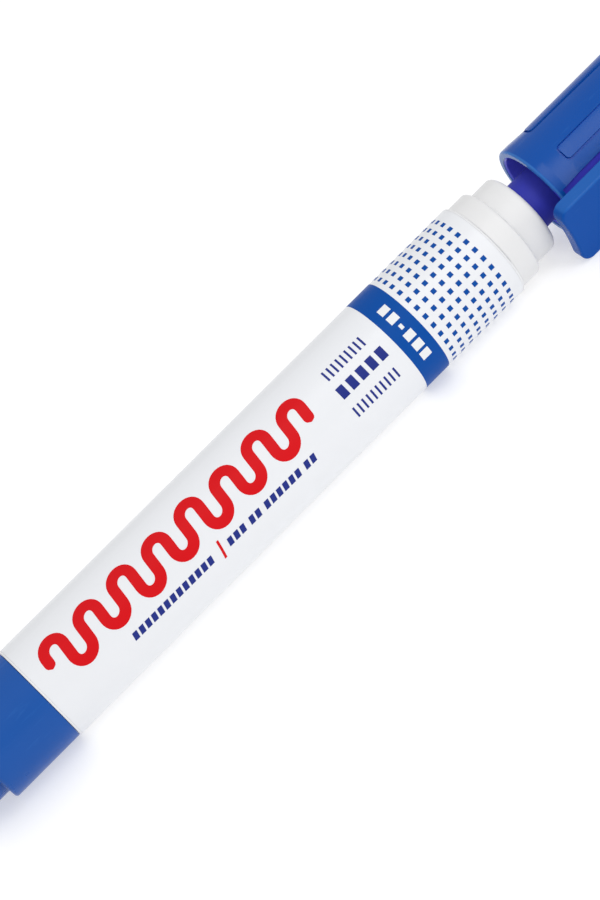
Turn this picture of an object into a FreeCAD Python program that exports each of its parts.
import FreeCAD, Part
import os

os.makedirs("parts", exist_ok=True)

# Refillable whiteboard marker, lying along +X with its nib towards +X.
# The origin is on the axis, at the rear end face of the plug's tail. Lengths are in millimetres.
# The cap stands a little off its seat, as when it is being pulled off. The marker leans on one edge
# of its clip, so it can't roll: the clip points a little below the level, towards -Y.

# --- barrel and the printed film round it ---
BARREL_R = 7.5
BARREL_LENGTH = 82.6
BARREL_BORE_R = 6.3
LIP_LENGTH = 0.3
RECESS_DEPTH = 0.12
RIB_COUNT = 6
RIB_WIDTH = 0.8
SLIP = 0.02

# --- the small dimples that moulding leaves in the middle of the plug's and the cap's end faces ---
GATE_R = 1.1
GATE_DEPTH = 0.3

# --- rear plug ---
TAIL_R = 6.1
TAIL_LENGTH = 6.6
PLUG_R = 7.4
PLUG_LENGTH = 11.4
PLUG_SEAM = 0.05
SPIGOT_R = 6.2
SPIGOT_LENGTH = 9.0
SPIGOT_WALL = 1.1

# --- front collar: a stop ring, then the land that the cap slides over ---
STOP_R = 7.13
STOP_LENGTH = 3.3
LAND_R = 6.23
LAND_LENGTH = 4.0
LAND_CORNER = 0.7
COLLAR_SPIGOT_R = BARREL_BORE_R - SLIP
COLLAR_SPIGOT_LENGTH = 9.0

# --- nib, its holder and the ink reservoir behind them ---
HOLDER_R = 4.28
FLANGE_R = 5.6
FLANGE_LENGTH = 1.4
NECK_R = 3.8
NECK_LENGTH = 9.0
NECK_BEND_R = 20.0
CONE_LENGTH = 8.0
CONE_TIP_R = 2.9
NIB_R = 2.2
NIB_PROUD = 4.5
NIB_IN_RESERVOIR = 4.6
RESERVOIR_R = 5.7
FILM_THICKNESS = 0.12
END_GAP = 0.2

# --- cap ---
CAP_OFF_SEAT = 7.2
SEAT_GAP = 0.1
CAP_LENGTH = 38.0
BEAD_R = 7.6
BEAD_LENGTH = 1.5
BEAD_TAPER = 2.5
CAP_R = 7.46
CAP_END_R = 7.15
CAP_END_CORNER = 1.2
DISH_R = 4.6
DISH_DEPTH = 0.4
CAP_BORE_R = 6.38
SLEEVE_DEPTH = 9.0
LINER_BORE_R = 6.1
CAP_END_WALL = 1.5
PANEL_COUNT = 5
PANEL_PITCH = 60.0
PANEL_WIDTH = 2.14
PANEL_START = 4.3
PANEL_LENGTH = 29.0
PANEL_CORNER = 0.5
GROOVE_WIDTH = 0.25
GROOVE_FLOOR_R = 7.25

# --- cap liner, a cup that closes on the neck of the nib holder ---
LINER_DEPTH = 10.0
LINER_FLANGE = 1.2
LINER_SEAL_R = 3.9
LINER_R = 4.9
LINER_FLOOR = 1.2

# --- clip, an arm hinged at the cap's closed end ---
CLIP_ANGLE = 105.0
CLIP_INNER_R = 7.87
CLIP_THICKNESS = 2.18
CLIP_WIDTH = 10.5
CLIP_OVERHANG = 3.0
CLIP_HINGE_DEPTH = 31.5
CLIP_NOSE_CORNER = 1.6
CLIP_NOSE_HOLLOW = 0.4
CLIP_EDGE = 0.35
CRADLE_GAP = 0.12
CHANNEL_START = 0.8
CHANNEL_HALF_WIDTH = 4.3
CHANNEL_FLOOR_R = 7.1
CLIP_BLOCK_END = 36.0
BLOCK_CORNER = 0.6

# --- places along the axis, worked out from the sizes above ---
X_SHOULDER = TAIL_LENGTH
X_BARREL = X_SHOULDER + PLUG_LENGTH
X_SPIGOT_END = X_BARREL + SPIGOT_LENGTH
X_FRONT = X_BARREL + BARREL_LENGTH
X_COLLAR_REAR = X_FRONT - COLLAR_SPIGOT_LENGTH
X_SEAT = X_FRONT + STOP_LENGTH
X_LAND_END = X_SEAT + LAND_LENGTH
X_NECK_END = X_LAND_END + NECK_LENGTH
X_CONE_END = X_NECK_END + CONE_LENGTH
X_NIB_TIP = X_CONE_END + NIB_PROUD
X_FLANGE_REAR = X_COLLAR_REAR - FLANGE_LENGTH
X_RESERVOIR_REAR = X_SPIGOT_END + END_GAP
X_RESERVOIR_FRONT = X_FLANGE_REAR - END_GAP
X_MOUTH = X_SEAT + SEAT_GAP + CAP_OFF_SEAT
X_CAP_END = X_MOUTH + CAP_LENGTH
X_LINER = X_MOUTH + LINER_DEPTH
X_CAP_FLOOR = X_CAP_END - CAP_END_WALL
X_HINGE = X_MOUTH + CLIP_HINGE_DEPTH

ORIGIN = FreeCAD.Vector(0, 0, 0)
AXIS = FreeCAD.Vector(1, 0, 0)
SIDEWAYS = FreeCAD.Vector(0, 1, 0)


def turned(profile):
    """A solid of revolution about the axis from a closed outline of (x, radius) points."""
    points = [FreeCAD.Vector(x, 0, radius) for x, radius in profile]
    face = Part.Face(Part.makePolygon(points + points[:1]))
    return face.revolve(ORIGIN, AXIS, 360)


def tube(x0, x1, inner_r, outer_r):
    """A plain round tube between two places on the axis, or a rod if the inner radius is 0."""
    return turned([(x0, inner_r), (x1, inner_r), (x1, outer_r), (x0, outer_r)])


def circle_edges(shape, x, radius):
    """The circular edges of a shape at one place on the axis and of one radius."""
    found = []
    for edge in shape.Edges:
        curve = edge.Curve
        if not isinstance(curve, Part.Circle):
            continue
        if abs(curve.Center.x - x) < 1e-3 and abs(curve.Radius - radius) < 1e-3:
            found.append(edge)
    return found


def rounded(shape, corners):
    """The shape with each circular corner (x, radius, fillet) rounded in turn."""
    for x, radius, fillet in corners:
        shape = shape.makeFillet(fillet, circle_edges(shape, x, radius))
    return shape


def around(shape, angle):
    """A shape built above the axis, turned about it by an angle from +Z towards -Y."""
    turned_shape = shape.copy()
    turned_shape.rotate(ORIGIN, AXIS, angle)
    return turned_shape


def edges_along(shape, direction):
    """The straight edges of a shape that run along one direction."""
    found = []
    for edge in shape.Edges:
        if isinstance(edge.Curve, Part.Line) and abs(edge.Curve.Direction.dot(direction)) > 0.999:
            found.append(edge)
    return found


def make_barrel():
    """A white tube, recessed for its label, with ribs inside that hold the reservoir off its wall."""
    recess_r = BARREL_R - RECESS_DEPTH
    profile = [
        (X_BARREL, BARREL_BORE_R),
        (X_FRONT, BARREL_BORE_R),
        (X_FRONT, BARREL_R),
        (X_FRONT - LIP_LENGTH, BARREL_R),
        (X_FRONT - LIP_LENGTH, recess_r),
        (X_BARREL + LIP_LENGTH, recess_r),
        (X_BARREL + LIP_LENGTH, BARREL_R),
        (X_BARREL, BARREL_R),
    ]
    body = rounded(turned(profile), [(X_FRONT, BARREL_R, 0.2), (X_BARREL, BARREL_R, 0.12)])
    rib_inner_r = RESERVOIR_R + FILM_THICKNESS + 2 * SLIP
    rib_height = BARREL_BORE_R + 0.3 - rib_inner_r
    rib_x = X_SPIGOT_END + 1.0
    rib_length = X_FLANGE_REAR - 1.0 - rib_x
    for index in range(RIB_COUNT):
        corner = FreeCAD.Vector(rib_x, -RIB_WIDTH / 2, rib_inner_r)
        rib = Part.makeBox(rib_length, RIB_WIDTH, rib_height, corner)
        body = body.fuse(around(rib, index * 360.0 / RIB_COUNT))
    return body.removeSplitter()


def make_label_film():
    """The thin printed film that fills the barrel's recess, flush with its lips."""
    x_rear = X_BARREL + LIP_LENGTH + SLIP
    x_front = X_FRONT - LIP_LENGTH - SLIP
    return tube(x_rear, x_front, BARREL_R - RECESS_DEPTH + SLIP, BARREL_R)


def make_front_collar():
    """The stepped white ring at the front, with a spigot inside the barrel."""
    bore_r = HOLDER_R + SLIP
    profile = [
        (X_COLLAR_REAR, bore_r),
        (X_LAND_END, bore_r),
        (X_LAND_END, LAND_R),
        (X_SEAT, LAND_R),
        (X_SEAT, STOP_R),
        (X_FRONT, STOP_R),
        (X_FRONT, COLLAR_SPIGOT_R),
        (X_COLLAR_REAR, COLLAR_SPIGOT_R),
    ]
    corners = [
        (X_LAND_END, LAND_R, LAND_CORNER),
        (X_SEAT, STOP_R, 0.4),
        (X_FRONT, STOP_R, 0.15),
        (X_COLLAR_REAR, COLLAR_SPIGOT_R, 0.3),
    ]
    return rounded(turned(profile), corners)


def make_nib_holder():
    """The tube that grips the nib: a flange behind the collar, a round neck and a cone."""
    bore_r = NIB_R + SLIP
    profile = [
        (X_FLANGE_REAR, bore_r),
        (X_CONE_END, bore_r),
        (X_CONE_END, CONE_TIP_R),
        (X_NECK_END, NECK_R),
        (X_LAND_END, NECK_R),
        (X_LAND_END, HOLDER_R),
        (X_COLLAR_REAR, HOLDER_R),
        (X_COLLAR_REAR, FLANGE_R),
        (X_FLANGE_REAR, FLANGE_R),
    ]
    return rounded(turned(profile), [(X_CONE_END, CONE_TIP_R, 0.3), (X_NECK_END, NECK_R, NECK_BEND_R)])


def make_nib():
    """A fibre rod that runs from the reservoir to a bullet tip."""
    x_rear = X_RESERVOIR_FRONT - NIB_IN_RESERVOIR
    rod = tube(x_rear, X_NIB_TIP - NIB_R, 0, NIB_R)
    bullet = Part.makeSphere(NIB_R, FreeCAD.Vector(X_NIB_TIP - NIB_R, 0, 0))
    return rod.fuse(bullet).removeSplitter()


def make_ink_reservoir():
    """The fibre rod that stores the ink, with a pocket in front for the nib."""
    pocket_r = NIB_R + SLIP
    x_pocket = X_RESERVOIR_FRONT - NIB_IN_RESERVOIR - END_GAP
    profile = [
        (X_RESERVOIR_REAR, 0),
        (x_pocket, 0),
        (x_pocket, pocket_r),
        (X_RESERVOIR_FRONT, pocket_r),
        (X_RESERVOIR_FRONT, RESERVOIR_R),
        (X_RESERVOIR_REAR, RESERVOIR_R),
    ]
    return turned(profile)


def make_reservoir_film():
    """The clear film sleeve round the reservoir."""
    inner_r = RESERVOIR_R + SLIP
    return tube(X_RESERVOIR_REAR, X_RESERVOIR_FRONT, inner_r, inner_r + FILM_THICKNESS)


def make_rear_plug():
    """The coloured plug that closes the barrel: a tail, a full-width head and a hollow spigot."""
    x_face = X_BARREL - PLUG_SEAM
    hollow_r = SPIGOT_R - SPIGOT_WALL
    profile = [
        (0, GATE_R),
        (GATE_DEPTH, GATE_R - GATE_DEPTH),
        (GATE_DEPTH, 0),
        (X_BARREL - 2.0, 0),
        (X_BARREL - 2.0, hollow_r),
        (X_SPIGOT_END, hollow_r),
        (X_SPIGOT_END, SPIGOT_R),
        (x_face, SPIGOT_R),
        (x_face, PLUG_R),
        (X_SHOULDER, PLUG_R),
        (X_SHOULDER, TAIL_R),
        (0, TAIL_R),
    ]
    corners = [
        (0, TAIL_R, 0.6),
        (X_SHOULDER, PLUG_R, 0.45),
        (X_SHOULDER, TAIL_R, 0.25),
        (x_face, PLUG_R, 0.12),
        (X_SPIGOT_END, SPIGOT_R, 0.4),
    ]
    return rounded(turned(profile), corners)


def make_bar(margin, inner_r, outer_r):
    """A bar above the axis, that much larger than a cap panel, from one radius to another."""
    width = PANEL_WIDTH + 2 * margin
    corner = FreeCAD.Vector(X_MOUTH + PANEL_START - margin, -width / 2, 0)
    bar = Part.makeBox(PANEL_LENGTH + 2 * margin, width, outer_r + 1.0, corner)
    bar = bar.makeFillet(PANEL_CORNER + margin, edges_along(bar, FreeCAD.Vector(0, 0, 1)))
    return bar.common(tube(X_MOUTH, X_CAP_END, inner_r, outer_r))


def make_clip_channel():
    """The space of the shallow channel in the cap's wall under the clip."""
    corner = FreeCAD.Vector(X_MOUTH + CHANNEL_START, -CHANNEL_HALF_WIDTH, 0)
    length = CLIP_HINGE_DEPTH - CHANNEL_START
    space = Part.makeBox(length, 2 * CHANNEL_HALF_WIDTH, BEAD_R + 1.0, corner)
    return space.common(tube(X_MOUTH, X_CAP_END, CHANNEL_FLOOR_R, BEAD_R + 1.0))


def clip_pin(radius):
    """A cylinder across the cap about the clip's hinge line."""
    hinge_r = CLIP_INNER_R + CLIP_THICKNESS / 2
    start = FreeCAD.Vector(X_HINGE, -CLIP_WIDTH / 2 - 1.0, hinge_r)
    return Part.makeCylinder(radius, CLIP_WIDTH + 2.0, start, SIDEWAYS)


def make_clip_block():
    """The block on the cap that the clip's round root sits in."""
    top_r = CLIP_INNER_R + CLIP_THICKNESS
    x_rear = X_MOUTH + CLIP_BLOCK_END
    corner = FreeCAD.Vector(X_HINGE, -CLIP_WIDTH / 2, CAP_BORE_R - 3.0)
    block = Part.makeBox(x_rear - X_HINGE, CLIP_WIDTH, top_r - corner.z, corner)
    outer_edges = []
    for edge in block.Edges:
        middle = edge.CenterOfMass
        at_rear = abs(middle.x - x_rear) < 1e-3 and middle.z > corner.z + 0.1
        at_top_side = abs(middle.z - top_r) < 1e-3 and abs(middle.y) > 0.1
        if at_rear or at_top_side:
            outer_edges.append(edge)
    block = block.makeFillet(BLOCK_CORNER, outer_edges)
    return block.cut(clip_pin(CLIP_THICKNESS / 2 + CRADLE_GAP))


def make_cap_shell():
    """The coloured cap: a bead at the mouth, raised bars, the clip's block and a dished end."""
    x_dish = X_CAP_END - DISH_DEPTH
    outline = [
        (X_MOUTH, 0),
        (x_dish - GATE_DEPTH, 0),
        (x_dish - GATE_DEPTH, GATE_R - GATE_DEPTH),
        (x_dish, GATE_R),
        (x_dish, DISH_R - DISH_DEPTH),
        (X_CAP_END, DISH_R),
        (X_CAP_END, CAP_END_R),
        (X_MOUTH + BEAD_LENGTH + BEAD_TAPER, CAP_R),
        (X_MOUTH + BEAD_LENGTH, BEAD_R),
        (X_MOUTH, BEAD_R),
    ]
    corners = [
        (X_CAP_END, CAP_END_R, CAP_END_CORNER),
        (X_MOUTH, BEAD_R, 0.35),
    ]
    body = rounded(turned(outline), corners)
    groove = make_bar(GROOVE_WIDTH, GROOVE_FLOOR_R, BEAD_R + 1.0)
    panel = make_bar(0, CAP_END_R - 0.3, BEAD_R - 0.01)
    for step in range(1, PANEL_COUNT + 1):
        angle = CLIP_ANGLE + step * PANEL_PITCH
        body = body.cut(around(groove, angle)).fuse(around(panel, angle))
    body = body.cut(around(make_clip_channel(), CLIP_ANGLE))
    body = body.fuse(around(make_clip_block(), CLIP_ANGLE))
    bore = turned([
        (X_MOUTH - 1.0, 0),
        (X_CAP_FLOOR, 0),
        (X_CAP_FLOOR, LINER_BORE_R),
        (X_MOUTH + SLEEVE_DEPTH, LINER_BORE_R),
        (X_MOUTH + SLEEVE_DEPTH, CAP_BORE_R),
        (X_MOUTH + 0.3, CAP_BORE_R),
        (X_MOUTH, CAP_BORE_R + 0.3),
        (X_MOUTH - 1.0, CAP_BORE_R + 0.3),
    ])
    return body.cut(bore).removeSplitter()


def make_cap_liner():
    """The inner cup, held by its flange in the cap's bore and closed at the far end."""
    profile = [
        (X_LINER, LINER_SEAL_R),
        (X_CAP_FLOOR - LINER_FLOOR, LINER_SEAL_R),
        (X_CAP_FLOOR - LINER_FLOOR, 0),
        (X_CAP_FLOOR, 0),
        (X_CAP_FLOOR, LINER_R),
        (X_LINER + LINER_FLANGE, LINER_R),
        (X_LINER + LINER_FLANGE, LINER_BORE_R - SLIP),
        (X_LINER, LINER_BORE_R - SLIP),
    ]
    return rounded(turned(profile), [(X_LINER, LINER_SEAL_R, 0.3)])


def make_cap_clip():
    """The flat clip arm, with a slightly hollow nose past the mouth and a round root in its block."""
    x_nose = X_MOUTH - CLIP_OVERHANG
    corner = FreeCAD.Vector(x_nose, -CLIP_WIDTH / 2, CLIP_INNER_R)
    arm = Part.makeBox(X_HINGE - x_nose, CLIP_WIDTH, CLIP_THICKNESS, corner)
    root_x = X_HINGE - CLIP_THICKNESS / 2
    root_corner = FreeCAD.Vector(root_x, -CLIP_WIDTH / 2, CLIP_INNER_R)
    root_space = Part.makeBox(CLIP_THICKNESS, CLIP_WIDTH, CLIP_THICKNESS, root_corner)
    arm = arm.fuse(clip_pin(CLIP_THICKNESS / 2).common(root_space)).removeSplitter()
    hollow_r = ((CLIP_WIDTH / 2) ** 2 + CLIP_NOSE_HOLLOW ** 2) / (2 * CLIP_NOSE_HOLLOW)
    hollow_centre = FreeCAD.Vector(x_nose + CLIP_NOSE_HOLLOW - hollow_r, 0, 0)
    arm = arm.cut(Part.makeCylinder(hollow_r, CLIP_INNER_R + 2 * CLIP_THICKNESS, hollow_centre))
    across = FreeCAD.Vector(0, 0, 1)
    nose_corners = [edge for edge in edges_along(arm, across) if edge.CenterOfMass.x < X_MOUTH]
    arm = arm.makeFillet(CLIP_NOSE_CORNER, nose_corners)
    skipped = edges_along(arm, across)
    skipped += [edge for edge in edges_along(arm, SIDEWAYS) if edge.CenterOfMass.x > X_MOUTH]
    rim = [edge for edge in arm.Edges if not any(edge.isSame(other) for other in skipped)]
    arm = arm.makeFillet(CLIP_EDGE, rim)
    return around(arm, CLIP_ANGLE)


MAKERS = {
    "barrel": make_barrel,
    "label_film": make_label_film,
    "front_collar": make_front_collar,
    "nib_holder": make_nib_holder,
    "nib": make_nib,
    "ink_reservoir": make_ink_reservoir,
    "reservoir_film": make_reservoir_film,
    "rear_plug": make_rear_plug,
    "cap_shell": make_cap_shell,
    "cap_liner": make_cap_liner,
    "cap_clip": make_cap_clip,
}

for node, maker in MAKERS.items():
    shape = maker()
    box = shape.BoundBox
    print(node, shape.isValid(), len(shape.Solids), round(shape.Volume, 2),
          [round(v, 3) for v in (box.XMin, box.XMax, box.YMin, box.YMax, box.ZMin, box.ZMax)])
    shape.exportStep("parts/" + node + ".step")
